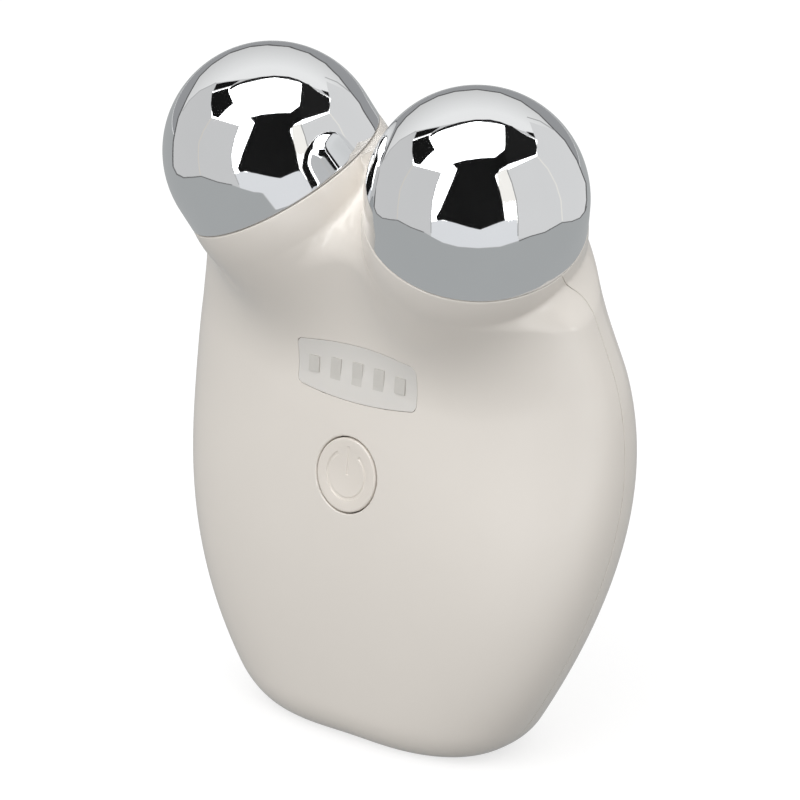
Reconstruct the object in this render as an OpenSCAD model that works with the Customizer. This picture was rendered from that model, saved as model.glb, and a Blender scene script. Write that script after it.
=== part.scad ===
// Hand-held facial toning device: a two-shell body with two dome electrodes on splayed necks,
// one power button and a level window. Origin at the centre of the flat base, +Z up, front at -Y.

/* [Body outline] */
// Height of the dome centres above the base
dome_z = 85.5; // [82:0.5:90]
// Height of the lower profile station
lower_z = 19.5; // [18.5:0.5:20.5]
// Height of the belly
belly_z = 41.5; // [40.5:0.5:42.5]
// Height of the shoulder
shoulder_z = 63.5; // [62.5:0.5:65]
// Half width of the body at the base
base_half_w = 22; // [20:0.5:24]
// Half width a quarter of the way up
lower_half_w = 34; // [33:0.5:36]
// Half width at the belly
belly_half_w = 39.5; // [38:0.5:41]
// Half width at the shoulder
shoulder_half_w = 37; // [35.5:0.5:38.5]
// Half width of the body profile at dome height
crown_half_w = 24; // [22:0.5:26]
// Depth from the parting line to the front at the base
base_front = 12; // [11:0.5:13.5]
// Depth from the parting line to the front a quarter of the way up
lower_front = 12.5; // [11.5:0.5:13.5]
// Depth from the parting line to the front at the belly
belly_front = 14; // [13:0.5:15]
// Depth from the parting line to the front at the shoulder
shoulder_front = 10; // [9:0.5:11]
// Depth from the parting line to the back at the base
base_rear = 16.5; // [15:0.5:17.5]
// Depth from the parting line to the back a quarter of the way up
lower_rear = 17; // [16:0.5:18]
// Depth from the parting line to the back at the belly
belly_rear = 16.5; // [16:0.5:18]
// Depth from the parting line to the back at the shoulder
shoulder_rear = 14.5; // [14:0.5:16]
// How far the parting line bows back at the belly
belly_bow = 3.75; // [3:0.25:4.5]
// Squareness of the front of a cross-section
front_square = 2.5; // [2.3:0.1:2.7]
// Squareness of the back of a cross-section
rear_square = 2.1; // [2:0.1:2.3]
// Roundness of the edge around the base
base_edge = 6; // [4:0.5:7]
// Softness of the blend between body and necks
neck_blend = 18; // [16:0.5:20]
// Wall of both shells
wall = 2; // [1.8:0.1:2.4]

/* [Electrodes] */
// Radius of a dome
dome_r = 16; // [15.5:0.1:16.5]
// Half the distance between the dome centres
dome_half_pitch = 19.1; // [18.8:0.1:19.6]
// Distance of the dome centres behind (+) or in front (-) of the base centre
dome_y = -4; // [-5:0.5:-3]
// Outward tilt of an electrode
splay = 20.7; // [19.5:0.1:22]
// Forward tilt of an electrode
lean = 23.3; // [22:0.1:24.5]
// Height of the skirt under a dome
skirt_h = 3.9; // [3.6:0.1:4.4]
// Wall of a dome
dome_wall = 1.3; // [1:0.1:1.6]
// Thickness of the seal between dome and body
seal_t = 0.25; // [0.2:0.05:0.4]
// Thickness of the neck deck that carries the seat
deck_t = 2.4; // [2:0.1:2.8]
// Radius of the hole in the deck
deck_hole_r = 10; // [9:0.5:11]
// Radius of the screw that holds a dome
dome_screw_r = 1.2; // [1:0.1:1.5]

/* [Front face] */
// Height of the power button
button_z = 41.5; // [39:0.5:44]
// Upward tilt of the front face
face_tilt = 8.8; // [7.5:0.1:10]
// Radius of the button hole
button_hole_r = 5.7; // [5.4:0.1:6]
// Gap around the button
button_gap = 0.2; // [0.15:0.05:0.3]
// Travel of the button
button_travel = 0.5; // [0.3:0.1:0.6]
// Height of the window's middle above the button, along the face
window_up = 14.9; // [14:0.1:16]
// Half width of the window
window_half_w = 11.2; // [10.5:0.1:11.8]
// Half height of the window at its ends
window_end_h = 3.3; // [3:0.1:3.6]
// Half height of the window in the middle
window_mid_h = 4.2; // [4:0.1:4.5]
// Distance between the level marks
mark_pitch = 4.05; // [3.9:0.05:4.2]
// Width of a level mark
mark_w = 1.9; // [1.6:0.1:2.1]
// Height of the middle level mark
mark_h = 3.4; // [3:0.1:3.8]

/* [Inside] */
// Depth of the board's front below the face at the button
board_depth = 7.6; // [7.2:0.1:8.2]
// Thickness of the board
board_t = 1.2; // [1:0.1:1.6]
// Width of the board
board_w = 40; // [38:0.5:42]
// Reach of the board above the button
board_up = 21; // [20:0.5:22]
// Reach of the board below the button
board_down = 22; // [21:0.5:23]
// Length of the battery
battery_h = 34; // [30:0.5:36]
// Width of the battery
battery_w = 30; // [26:0.5:32]
// Thickness of the battery
battery_t = 7; // [6:0.5:8]
// Radius of a lead
lead_r = 0.6; // [0.5:0.05:0.7]
// Distance of the charging socket behind the base centre
socket_y = 4.5; // [4.5:0.5:6]

/* [Hidden] */
$fn = 64;

// ---- Body profiles: five stations from the base to the dome centres ----
crown_front = 3;
crown_rear = 11;
crown_bow = -1.5;
STATIONS = [0, lower_z, belly_z, shoulder_z, dome_z];
HALF_W = [base_half_w, lower_half_w, belly_half_w, shoulder_half_w, crown_half_w];
FRONT = [base_front, lower_front, belly_front, shoulder_front, crown_front];
REAR = [base_rear, lower_rear, belly_rear, shoulder_rear, crown_rear];
BOW = [0, 0, belly_bow, belly_bow, crown_bow];

front_square_top = front_square + 0.5;  // the front grows squarer towards the necks
square_from = dome_z - 60;
crown_from = dome_z - 26;               // the body profile closes above this height
crown_top = dome_z + 7.5;
floor_sink = 0.25;                      // the rounded body is cut flat this far above its lowest point
neck_flare = [0.1, -0.03];              // change of the neck radius with depth
valley_blend = 14;                      // softness of the valley between the necks
blend_depth = 10;                       // the blends fade in over this depth below the domes
neck_end = [24, 8];                     // depth where a neck ends inside the body, and its softness
over = 5;                               // the raw shells run this far past the junction planes

// ---- Points of the shell meshes ----
SEGMENTS = 96;
OUTER_RINGS = 18;
INNER_RINGS = 8;
SHELL_CENTRE = [0, 3, belly_z + 2.5];
STRETCH = [12, 0, 26];                   // the rays start on an ellipse in the body's middle
REACH = 60;
STEPS = 15;

// ---- Electrode frame ----
function electrode_axis(s) =
    [s * sin(splay), -cos(splay) * sin(lean), cos(splay) * cos(lean)];
function dome_centre(s) = [s * dome_half_pitch, dome_y, dome_z];
function junction(s) = dome_centre(s) - skirt_h * electrode_axis(s);
AXES = [electrode_axis(-1), electrode_axis(1)];
JUNCTIONS = [junction(-1), junction(1)];

// ---- Implicit surface of the body: negative inside ----
function limit(v, low, high) = max(low, min(high, v));
function smooth_min(a, b, k) = let (h = max(k - abs(a - b), 0) / k) min(a, b) - h * h * k / 4;
function smooth_max(a, b, k) = -smooth_min(-a, -b, k);
function smooth_step(v) = let (t = limit(v, 0, 1)) t * t * (3 - 2 * t);

function share(z, i) =
    let (own = STATIONS[i], rest = [for (j = [0:4]) if (j != i) STATIONS[j]])
    (z - rest[0]) * (z - rest[1]) * (z - rest[2]) * (z - rest[3])
    / ((own - rest[0]) * (own - rest[1]) * (own - rest[2]) * (own - rest[3]));
function shares(z) = [for (i = [0:4]) share(limit(z, -4.5, dome_z + 4), i)];

function trunk(p, m) =
    let (
        dy = p.y - BOW * m,
        ahead = dy < 0,
        w = max(HALF_W * m, 3),
        d = max((ahead ? FRONT : REAR) * m, 2),
        rise = limit((p.z - square_from) / (dome_z - square_from), 0, 1),
        n = ahead ? front_square + (front_square_top - front_square) * rise * rise : rear_square,
        plan = pow(pow(abs(p.x) / w, n) + pow(abs(dy) / d, n), 1 / n),
        up = max(p.z - crown_from, 0),
        rho = norm([plan, up / (crown_top - crown_from)])
    )
    norm([p.x, dy, up]) * (1 - 1 / max(rho, 0.001));

function neck_depth(p, i) = -(p - JUNCTIONS[i]) * AXES[i];
function neck(p, i) =
    let (t = neck_depth(p, i), q = p - JUNCTIONS[i] + t * AXES[i], below = max(t, 0))
    norm(q) - (dome_r + neck_flare[0] * max(t, -over) + neck_flare[1] * below * below);

function body(p) =
    let (
        t = neck_depth(p, p.x > 0 ? 1 : 0),
        fade = max(smooth_step(t / blend_depth), 0.02),
        necks = smooth_min(neck(p, 0), neck(p, 1), valley_blend * fade),
        short = smooth_max(necks, t - neck_end[0], neck_end[1]),
        whole = smooth_min(trunk(p, shares(p.z)), short, neck_blend * fade)
    )
    smooth_max(whole, -floor_sink - p.z, base_edge);

// The outer skin runs past the junction planes and is cut there; the inner one stops under the decks.
function outer_skin(p) = max(body(p), -neck_depth(p, p.x > 0 ? 1 : 0) - over);
function inner_skin(p) =
    max(body(p) + wall, deck_t + 1.2 - neck_depth(p, p.x > 0 ? 1 : 0));
function skin(p, inner) = inner ? inner_skin(p) : outer_skin(p);

function root(o, d, inner, low, high, n) =
    let (m = (low + high) / 2)
    n == 0 ? m
    : skin(o + m * d, inner) < 0 ? root(o, d, inner, m, high, n - 1)
    : root(o, d, inner, low, m, n - 1);

// ---- Parting line: bows back at the belly and runs up to the middle of the necks ----
neck_seam_y = dome_y + 1.3;
function seam_y(z) =
    let (k = smooth_step((z - dome_z + 13.5) / 6.5))
    (BOW * shares(z)) * (1 - k) + neck_seam_y * k;

function spoke(turn, away) =
    [sin(away) * cos(turn), -cos(away), sin(away) * sin(turn)];
function shell_point(turn, away, inner) =
    let (d = spoke(turn, away), o = SHELL_CENTRE + [STRETCH.x * d.x, 0, STRETCH.z * d.z])
    o + d * root(o, d, inner, 0, REACH, STEPS);
function seam_angle(turn, inner, low = 55, high = 125, n = 12) =
    let (m = (low + high) / 2, p = shell_point(turn, m, inner))
    n == 0 ? m
    : p.y < seam_y(p.z) ? seam_angle(turn, inner, m, high, n - 1)
    : seam_angle(turn, inner, low, m, n - 1);

// One skin of one shell: rings from the pole to the parting line.
function skin_points(side, rings, inner) =
    let (
        edge = [for (j = [0:SEGMENTS - 1]) seam_angle(360 * j / SEGMENTS, inner)],
        pole = side < 0 ? 0 : 180
    )
    concat(
        [shell_point(0, pole, inner)],
        [for (i = [1:rings], j = [0:SEGMENTS - 1])
            shell_point(360 * j / SEGMENTS, pole + (edge[j] - pole) * i / rings, inner)]
    );

function ring_at(base, i, j) = base + 1 + (i - 1) * SEGMENTS + (j % SEGMENTS);
function skin_faces(base, rings, flip) =
    let (
        cap = [for (j = [0:SEGMENTS - 1]) [base, ring_at(base, 1, j), ring_at(base, 1, j + 1)]],
        strips = [for (i = [1:rings - 1], j = [0:SEGMENTS - 1], half = [0, 1])
            half == 0
            ? [ring_at(base, i, j), ring_at(base, i + 1, j), ring_at(base, i + 1, j + 1)]
            : [ring_at(base, i, j), ring_at(base, i + 1, j + 1), ring_at(base, i, j + 1)]]
    )
    [for (f = concat(cap, strips)) flip ? [f[2], f[1], f[0]] : f];
function rim_faces(a, b, rings_a, rings_b, flip) =
    [for (j = [0:SEGMENTS - 1], half = [0, 1])
        let (f = half == 0
            ? [ring_at(a, rings_a, j), ring_at(b, rings_b, j), ring_at(b, rings_b, j + 1)]
            : [ring_at(a, rings_a, j), ring_at(b, rings_b, j + 1), ring_at(a, rings_a, j + 1)])
        flip ? [f[2], f[1], f[0]] : f];

module raw_shell(side) {
    outer = skin_points(side, OUTER_RINGS, false);
    inner = skin_points(side, INNER_RINGS, true);
    n = len(outer);
    flip = side < 0;
    polyhedron(
        points = concat(outer, inner),
        faces = concat(skin_faces(0, OUTER_RINGS, flip), skin_faces(n, INNER_RINGS, !flip),
            rim_faces(0, n, OUTER_RINGS, INNER_RINGS, flip))
    );
}

// ---- Frames ----
// Local +Z points out along an electrode, from its junction plane.
module electrode_frame(s) {
    translate(junction(s)) rotate([lean, 0, 0]) rotate([0, s * splay, 0]) children();
}
function electrode_point(s, q) =
    let (ex = [cos(s * splay), sin(lean) * sin(s * splay), -cos(lean) * sin(s * splay)],
        ey = [0, cos(lean), sin(lean)])
    junction(s) + q.x * ex + q.y * ey + q.z * electrode_axis(s);

// Front face: local x to the right, y up along the face, z outwards.
face_up = [0, sin(face_tilt), cos(face_tilt)];
face_out = [0, -cos(face_tilt), sin(face_tilt)];
function front_y(z, low = 0, high = 30, n = 16) =
    let (m = (low + high) / 2)
    n == 0 ? -m : body([0, -m, z]) < 0 ? front_y(z, m, high, n - 1) : front_y(z, low, m, n - 1);
face_origin = [0, front_y(button_z), button_z];
function face_point(q) = face_origin + [q.x, 0, 0] + q.y * face_up + q.z * face_out;
module face_frame() {
    translate(face_origin) rotate([90 - face_tilt, 0, 0]) children();
}

// Window: flat to the face at its own height.
window_z = button_z + window_up * cos(face_tilt);
window_origin = [0, front_y(window_z), window_z];
window_tilt = atan2(front_y(window_z + window_mid_h) - front_y(window_z - window_mid_h),
    2 * window_mid_h);
window_top = [0, sin(window_tilt), cos(window_tilt)];
window_out = [0, -cos(window_tilt), sin(window_tilt)];
module window_frame() {
    translate(window_origin) rotate([90 - window_tilt, 0, 0]) children();
}
// Height of the skin over a frame's plane, at the point p of that plane.
function skin_over(p, out, low = -6, high = 4, n = 14) =
    let (m = (low + high) / 2)
    n == 0 ? m : body(p + m * out) < 0 ? skin_over(p, out, m, high, n - 1)
    : skin_over(p, out, low, m, n - 1);
function face_rise(x, y) = skin_over(face_point([x, y, 0]), face_out);
function skin_rise(x, y) =
    skin_over(window_origin + [x, 0, 0] + y * window_top, window_out);

// ---- Depths below the face ----
land = 2.6;                              // front of everything that is clamped behind a land
flange_t = 0.8;                          // button flange
guide_gap = 0.05;                        // running clearance
button_r = button_hole_r - button_gap;
flange_r = button_r + 1.1;
flange_front = land + 0.1;
flange_back = flange_front + flange_t;
guide_floor = flange_back + button_travel + 0.1;
guide_floor_t = 0.8;
guide_r = flange_r + guide_gap + 1.8;
guide_hole_r = 4;
plunger_r = 1.4;
stem_r = plunger_r - 0.2;                // narrower than the plunger, which it follows into the switch
plunger_front = 5.3;
plunger_len = 1.2;
switch_front = 5.6;
switch_side = 6;
dish_r = button_r - 0.8;
dish_ball = 40;
symbol_r = 0.68 * button_r;
symbol_w = 0.4;
symbol_floor = 0.4;

lens_gap = 0.1;
lens_flange = 1.2;
lens_flange_t = 1;
window_corner = 0.5;                     // corner radius of the window's outline
window_land_w = 0.5;                     // width of the land around the lens flange
lens_sink = 0.5;                         // the lens runs this far into its flange
light_gap = 0.04;
light_bar_t = 1.6;
light_bar_h = 5.6;
light_bar_w = 4 * mark_pitch + mark_w + 3;
MARKS = [0.7, 0.93, 1, 0.93, 0.7];       // heights relative to the middle mark
led = [1.6, 2, 0.7];

board_back = board_depth + board_t;
post_r = 2.5;
post_bore = 0.9;
POSTS = [for (x = [-1, 1], v = [board_up - 3, 3 - board_down]) [x * (board_w / 2 - 2.6), v]];
chip = [7, 7, 1];
part_inset = 7.5;                        // middle of the tall parts from the board's long edges
chip_at = [part_inset - board_w / 2, -4];
coil_at = [board_w / 2 - part_inset, -6];
coil_r = 3.2;
coil_h = 2.4;
left_capacitor_up = 5;                   // heights of the capacitors above the button
right_capacitor_up = 3;
capacitor_pitch = 5;
CAPACITORS = [[part_inset - board_w / 2, left_capacitor_up],
    [board_w / 2 - part_inset, right_capacitor_up],
    [board_w / 2 - part_inset, right_capacitor_up + capacitor_pitch]];
capacitor_r = 1.6;
capacitor_h = 2.6;
buzzer_at = [0, 7.4 - board_down];
buzzer_r = 4.4;
buzzer_h = 2.6;
pad_t = 1;
pad_edge = 6;                            // the foam pad keeps this far from the board's long edges
pad_margin = 1;                          // and this far inside the ends of the battery
battery_back = board_back + pad_t + battery_t;
pad_inset = [5.7, 8];                    // solder pad of an output lead from the board's corner
lead_lift = 5.5;
lead_drop = 8;
plug = [6, 2.6, 2.4];
plug_at = [7, board_up - 1.9];
battery_top = plug_at.y - plug.y / 2 - 0.5;
BATTERY_LEADS = [5.6, 8.4];

dome_inner = dome_r - dome_wall;
seat_r = dome_inner - 0.05;
seat_h = 2.2;
seat_neck_r = deck_hole_r - 0.1;
seat_grip_r = deck_hole_r + 2.8;
seat_grip_t = 2;
seat_bottom = deck_t + seat_grip_t;
tab_at = 1.2;                            // depth of the contact tab below the junction plane
tab_t = 0.4;
tab_r = 3.2;
tail_x = 3;
tail_w = 2;
seat_well_r = tail_x + tab_t + 2 * lead_r + 0.4;
tail_end = 5.4;
boss_r = 3.6;
screw_depth = 7;
screw_head_r = 2.3;
screw_head_t = 1.4;

socket_floor = 1.4;
socket_r = 3.5;
socket_top = 11;
socket_bore_r = 2.75;
socket_pin_r = 0.8;
cradle_r = 4.4;
cradle_top = 8;
CHARGE_LEADS = [-1.8, 1.8];

tab_z = [belly_z - 11, belly_z + 11];
hook = [1.2, 5, 4];                      // thickness, length and width of a closing tab
hook_gap = 0.1;

// ---- Colours ----
pearl = [0.83, 0.82, 0.79];
lens_white = [0.82, 0.81, 0.80];
clear_grey = [0.75, 0.75, 0.72];
steel = [0.8, 0.81, 0.82];
nylon = [0.9, 0.9, 0.88];
rubber = [0.55, 0.55, 0.55];
green = [0.08, 0.35, 0.2];
black = [0.08, 0.08, 0.08];
copper = [0.75, 0.45, 0.25];

// ---- Shared shapes ----
// Barrel outline of the window: upright ends, bowed top and bottom, small corner radius.
function barrel(grow, corner = window_corner) =
    let (
        w = window_half_w + grow, e = window_end_h + grow, m = window_mid_h + grow,
        rise = m - e, bow = (w * w + rise * rise) / (2 * rise), n = 12,
        top = [for (i = [0:n]) let (x = (w - corner) * (1 - 2 * i / n))
            [x, e - bow + rise + sqrt(bow * bow - x * x)]],
        ends = concat([for (a = [0, 30, 60]) [w - corner + corner * cos(a),
            top[0].y - corner + corner * sin(a)]], top,
            [for (a = [120, 150, 180]) [corner - w + corner * cos(a),
            top[0].y - corner + corner * sin(a)]])
    )
    concat(ends, [for (i = [len(ends) - 1:-1:0]) [ends[i].x, -ends[i].y]]);

// Round bar along a cubic curve through four control points.
module lead(a, b, c, d, r = lead_r, n = 10) {
    sides = 8;
    path = [for (i = [0:n]) let (t = i / n, u = 1 - t)
        u * u * u * a + 3 * u * u * t * b + 3 * u * t * t * c + t * t * t * d];
    step = [for (i = [0:n]) let (t = i / n, u = 1 - t)
        let (g = 3 * (u * u * (b - a) + 2 * u * t * (c - b) + t * t * (d - c))) g / norm(g)];
    side = [1, 0.21, 0.13];
    points = [for (i = [0:n], k = [0:sides - 1])
        let (e = cross(step[i], side), ex = e / norm(e), ey = cross(step[i], ex))
        path[i] + r * (cos(360 * k / sides) * ex + sin(360 * k / sides) * ey)];
    walls = [for (i = [0:n - 1], k = [0:sides - 1], half = [0, 1])
        let (q = (k + 1) % sides, lo = i * sides, hi = lo + sides)
        half == 0 ? [lo + k, hi + q, lo + q] : [lo + k, hi + k, hi + q]];
    polyhedron(points = points, faces = concat(walls,
        [[for (k = [0:sides - 1]) k]], [[for (k = [sides - 1:-1:0]) n * sides + k]]));
}

// Tongues of the front shell that hook into the wall of the rear one.
module hooks(gap) {
    for (s = [-1, 1], z = tab_z)
        translate([s * (HALF_W * shares(z) - wall - 0.3), seam_y(z), z])
            cube([hook.x, hook.y, hook.z] + 2 * gap * [1, 1, 1], center = true);
}

// Everything both shells are cut with.
module shell_cuts() {
    for (s = [-1, 1]) electrode_frame(s) {
        translate([-60, -60, 0]) cube([120, 120, 60]);
        translate([0, 0, -deck_t - 4]) cylinder(r = deck_hole_r, h = deck_t + 5);
        translate([0, 0, -deck_t - 3]) cylinder(r = seat_grip_r + 0.3, h = 3);
    }
    translate([-60, -60, -10]) cube([120, 120, 10]);
}

// ---- Casing ----
module front_shell() {
    color(pearl) difference() {
        union() {
            raw_shell(-1);
            face_frame() {
                translate([0, 0, -land]) cylinder(r = guide_r + 0.8, h = land - 1);
                for (p = POSTS) translate([p.x, p.y, -board_depth])
                    cylinder(r = post_r, h = board_depth + face_rise(p.x, p.y) - wall / 2 - 0.3);
            }
            window_frame() translate([0, 0, -land]) linear_extrude(height = land - 1)
                polygon(barrel(lens_flange + window_land_w));
            hooks(0);
        }
        shell_cuts();
        face_frame() {
            translate([0, 0, -board_depth]) cylinder(r = button_hole_r, h = board_depth + 3);
            for (p = POSTS) translate([p.x, p.y, -board_depth - 1])
                cylinder(r = post_bore, h = 5);
        }
        window_frame() translate([0, 0, -board_depth])
            linear_extrude(height = board_depth + 3) polygon(barrel(0));
    }
}

module rear_shell() {
    color(pearl) difference() {
        union() {
            raw_shell(1);
            translate([0, socket_y, 1]) cylinder(r = cradle_r, h = cradle_top - 1);
        }
        shell_cuts();
        hooks(hook_gap);
        translate([0, socket_y, socket_floor]) cylinder(r = socket_r + 0.05, h = cradle_top);
        translate([0, socket_y, -1]) cylinder(r = socket_bore_r, h = 5);
    }
}

// ---- Electrodes ----
module electrode(s) {
    color(steel) electrode_frame(s) difference() {
        union() {
            difference() {
                union() {
                    translate([0, 0, seal_t]) cylinder(r = dome_r, h = skirt_h - seal_t);
                    translate([0, 0, skirt_h]) sphere(r = dome_r);
                }
                translate([0, 0, -dome_r]) cylinder(r = dome_inner, h = dome_r + skirt_h);
                translate([0, 0, skirt_h]) sphere(r = dome_inner);
                translate([0, 0, -2 * dome_r]) cylinder(r = dome_r + 1, h = 2 * dome_r + seal_t);
            }
            translate([0, 0, seat_h]) cylinder(r = boss_r, h = skirt_h + dome_r - 1 - seat_h);
        }
        translate([0, 0, seat_h - 1]) cylinder(r = dome_screw_r + 0.05, h = screw_depth + 1.5);
    }
}
module electrode_right() { electrode(1); }
module electrode_left() { electrode(-1); }

module electrode_seat(s) {
    color(nylon) electrode_frame(s) difference() {
        union() {
            cylinder(r = seat_r, h = seat_h);
            translate([0, 0, -seat_bottom]) cylinder(r = seat_neck_r, h = seat_bottom + 1);
            translate([0, 0, -seat_bottom]) cylinder(r = seat_grip_r, h = seat_grip_t);
        }
        translate([0, 0, -seat_bottom - 1]) cylinder(r = seat_well_r, h = seat_bottom + 1 - tab_at);
        translate([0, 0, -seat_bottom - 1])
            cylinder(r = dome_screw_r + 0.1, h = seat_bottom + seat_h + 2);
    }
}
module electrode_seat_right() { electrode_seat(1); }
module electrode_seat_left() { electrode_seat(-1); }

module electrode_seals() {
    color(rubber) for (s = [-1, 1]) electrode_frame(s) difference() {
        cylinder(r = dome_r - 0.3, h = seal_t);
        translate([0, 0, -1]) cylinder(r = seat_r + 0.05, h = seal_t + 2);
    }
}

module electrode_screws() {
    color(steel) for (s = [-1, 1]) electrode_frame(s) difference() {
        union() {
            translate([0, 0, -tab_at - tab_t - screw_head_t])
                cylinder(r = screw_head_r, h = screw_head_t);
            translate([0, 0, -tab_at - tab_t - 0.5])
                cylinder(r = dome_screw_r, h = tab_at + tab_t + 0.5 + seat_h + screw_depth);
        }
        translate([-1.6, -0.3, -tab_at - tab_t - screw_head_t - 1]) cube([3.2, 0.6, 1.6]);
    }
}

module contact_tabs() {
    color(copper) for (s = [-1, 1]) electrode_frame(s) mirror([s < 0 ? 1 : 0, 0, 0]) difference() {
        union() {
            translate([0, 0, -tab_at - tab_t]) cylinder(r = tab_r, h = tab_t);
            translate([-tail_x - tab_t, -tail_w / 2, -tail_end])
                cube([tab_t, tail_w, tail_end - tab_at]);
            translate([-tail_x - tab_t, -tail_w / 2, -tab_at - tab_t]) cube([1, tail_w, tab_t]);
        }
        translate([0, 0, -tab_at - 2]) cylinder(r = dome_screw_r + 0.1, h = 4);
    }
}

module wire(s) {
    beside = -s * (tail_x + tab_t + lead_r);
    a = electrode_point(s, [beside, 0, 1.6 - tail_end]);
    down = electrode_point(s, [beside, 0, -tail_end - lead_drop]);
    pad = face_point([s * (board_w / 2 - pad_inset.x), board_up - pad_inset.y, -board_depth]);
    color(black) lead(a, down, pad + lead_lift * face_out, pad, n = 20);
}
module wire_right() { wire(1); }
module wire_left() { wire(-1); }

// ---- Level window ----
// Lens: outer surface flush with the skin, straight sides, flat back on the land.
module lens_plug() {
    outline = barrel(-lens_gap);
    n = len(outline);
    rings = [0.35, 0.7, 1];
    k = len(rings);
    base = 1 + k * n;
    top = concat([[0, 0, skin_rise(0, 0)]],
        [for (r = rings, p = outline) [p.x * r, p.y * r, skin_rise(p.x * r, p.y * r)]]);
    cap = [for (j = [0:n - 1]) [0, 1 + (j + 1) % n, 1 + j]];
    strips = [for (i = [0:k - 2], j = [0:n - 1], half = [0, 1])
        let (a = 1 + i * n + j, b = 1 + i * n + (j + 1) % n)
        half == 0 ? [a, b + n, a + n] : [a, b, b + n]];
    walls = [for (j = [0:n - 1], half = [0, 1])
        let (a = 1 + (k - 1) * n + j, b = 1 + (k - 1) * n + (j + 1) % n)
        half == 0 ? [a, b + n, a + n] : [a, b, b + n]];
    polyhedron(
        points = concat(top, [for (p = outline) [p.x, p.y, -land - lens_sink]]),
        faces = concat(cap, strips, walls, [[for (j = [0:n - 1]) base + j]])
    );
}

module mark_bars(grow, low) {
    for (i = [0:4]) {
        x = (i - 2) * mark_pitch;
        h = mark_h * MARKS[i];
        translate([x - mark_w / 2 - grow, -h / 2 - grow, low])
            cube([mark_w + 2 * grow, h + 2 * grow, skin_rise(x, 0) - low + (grow > 0 ? 2 : 0)]);
    }
}

module indicator_lens() {
    color(lens_white) window_frame() difference() {
        union() {
            lens_plug();
            translate([0, 0, -land - lens_flange_t]) linear_extrude(height = lens_flange_t)
                polygon(barrel(lens_flange));
        }
        mark_bars(light_gap, -land - lens_flange_t - 1);
    }
}

module light_guide() {
    back = land + lens_flange_t + light_bar_t;
    color(clear_grey) window_frame() union() {
        translate([-light_bar_w / 2, -light_bar_h / 2, -back])
            cube([light_bar_w, light_bar_h, light_bar_t]);
        mark_bars(0, -back + 0.5);
    }
}

module level_leds() {
    color(lens_white) face_frame() for (i = [-2:2])
        translate([i * mark_pitch - led.x / 2, window_up - led.y / 2, -board_depth])
            cube(led);
}

// ---- Power button ----
module power_button() {
    color(pearl) face_frame() difference() {
        union() {
            translate([0, 0, -flange_front - 0.2]) cylinder(r = button_r, h = flange_front + 0.2);
            translate([0, 0, -flange_back]) cylinder(r = flange_r, h = flange_t);
            translate([0, 0, -plunger_front]) cylinder(r = stem_r, h = plunger_front - 1);
        }
        translate([0, 0, sqrt(dish_ball * dish_ball - dish_r * dish_r)]) sphere(r = dish_ball);
        translate([0, 0, -symbol_floor]) power_symbol();
    }
}

// Ring open at the top with a short upright bar.
module power_symbol() {
    difference() {
        cylinder(r = symbol_r, h = 2);
        translate([0, 0, -1]) cylinder(r = symbol_r - symbol_w, h = 4);
        translate([-symbol_r / 2, 0, -1]) cube([symbol_r, symbol_r + 1, 4]);
    }
    translate([-symbol_w / 2, 0, 0]) cube([symbol_w, 1.12 * symbol_r, 2]);
}

module button_guide() {
    color(nylon) face_frame() difference() {
        translate([0, 0, -guide_floor - guide_floor_t])
            cylinder(r = guide_r, h = guide_floor + guide_floor_t - land);
        translate([0, 0, -guide_floor]) cylinder(r = flange_r + guide_gap, h = guide_floor);
        translate([0, 0, -board_depth]) cylinder(r = guide_hole_r, h = board_depth);
    }
}

module switch_body() {
    color(black) face_frame() difference() {
        translate([-switch_side / 2, -switch_side / 2, -board_depth])
            cube([switch_side, switch_side, board_depth - switch_front]);
        translate([0, 0, -plunger_front - plunger_len - button_travel - 0.2])
            cylinder(r = plunger_r + guide_gap, h = 4);
    }
}

module switch_plunger() {
    color(nylon) face_frame() translate([0, 0, -plunger_front - plunger_len])
        cylinder(r = plunger_r, h = plunger_len);
}

// ---- Electronics ----
module on_board(at) { translate([at.x, at.y, -board_depth]) children(); }

module main_board() {
    color(green) face_frame() difference() {
        translate([-board_w / 2, -board_down, -board_back])
            cube([board_w, board_up + board_down, board_t]);
        for (p = POSTS) translate([p.x, p.y, -board_back - 1])
            cylinder(r = post_bore + 0.2, h = board_t + 2);
    }
}

module board_screws() {
    color(steel) face_frame() for (p = POSTS) translate([p.x, p.y, 0]) difference() {
        union() {
            translate([0, 0, -board_back - 1.2]) cylinder(r = 1.8, h = 1.2);
            translate([0, 0, -board_back - 0.5]) cylinder(r = post_bore - 0.05, h = 4.5);
        }
        translate([-1.3, -0.25, -board_back - 2]) cube([2.6, 0.5, 1.4]);
    }
}

module controller_chip() {
    color(black) face_frame() on_board(chip_at - [chip.x, chip.y] / 2) cube(chip);
}

module boost_coil() {
    color(copper) face_frame() on_board(coil_at) difference() {
        cylinder(r = coil_r, h = coil_h);
        translate([0, 0, 0.6]) cylinder(r = coil_r * 0.35, h = coil_h);
    }
}

module filter_capacitors() {
    color(steel) face_frame() for (c = CAPACITORS) on_board(c)
        cylinder(r = capacitor_r, h = capacitor_h);
}

module buzzer() {
    color(black) face_frame() on_board(buzzer_at) difference() {
        cylinder(r = buzzer_r, h = buzzer_h);
        translate([0, 0, buzzer_h - 0.6]) cylinder(r = 0.8, h = 2);
    }
}

module battery_pad() {
    color(rubber) face_frame()
        translate([pad_edge - board_w / 2, battery_top - battery_h + pad_margin, -board_back - pad_t])
            cube([board_w - 2 * pad_edge, battery_h - 2 * pad_margin, pad_t]);
}

module battery() {
    color(steel) face_frame() translate([-battery_w / 2, battery_top - battery_h, -battery_back])
        cube([battery_w, battery_h, battery_t]);
}

module battery_plug() {
    color(nylon) face_frame() translate([plug_at.x - plug.x / 2, plug_at.y - plug.y / 2,
        -board_back - plug.z]) cube(plug);
}

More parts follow.
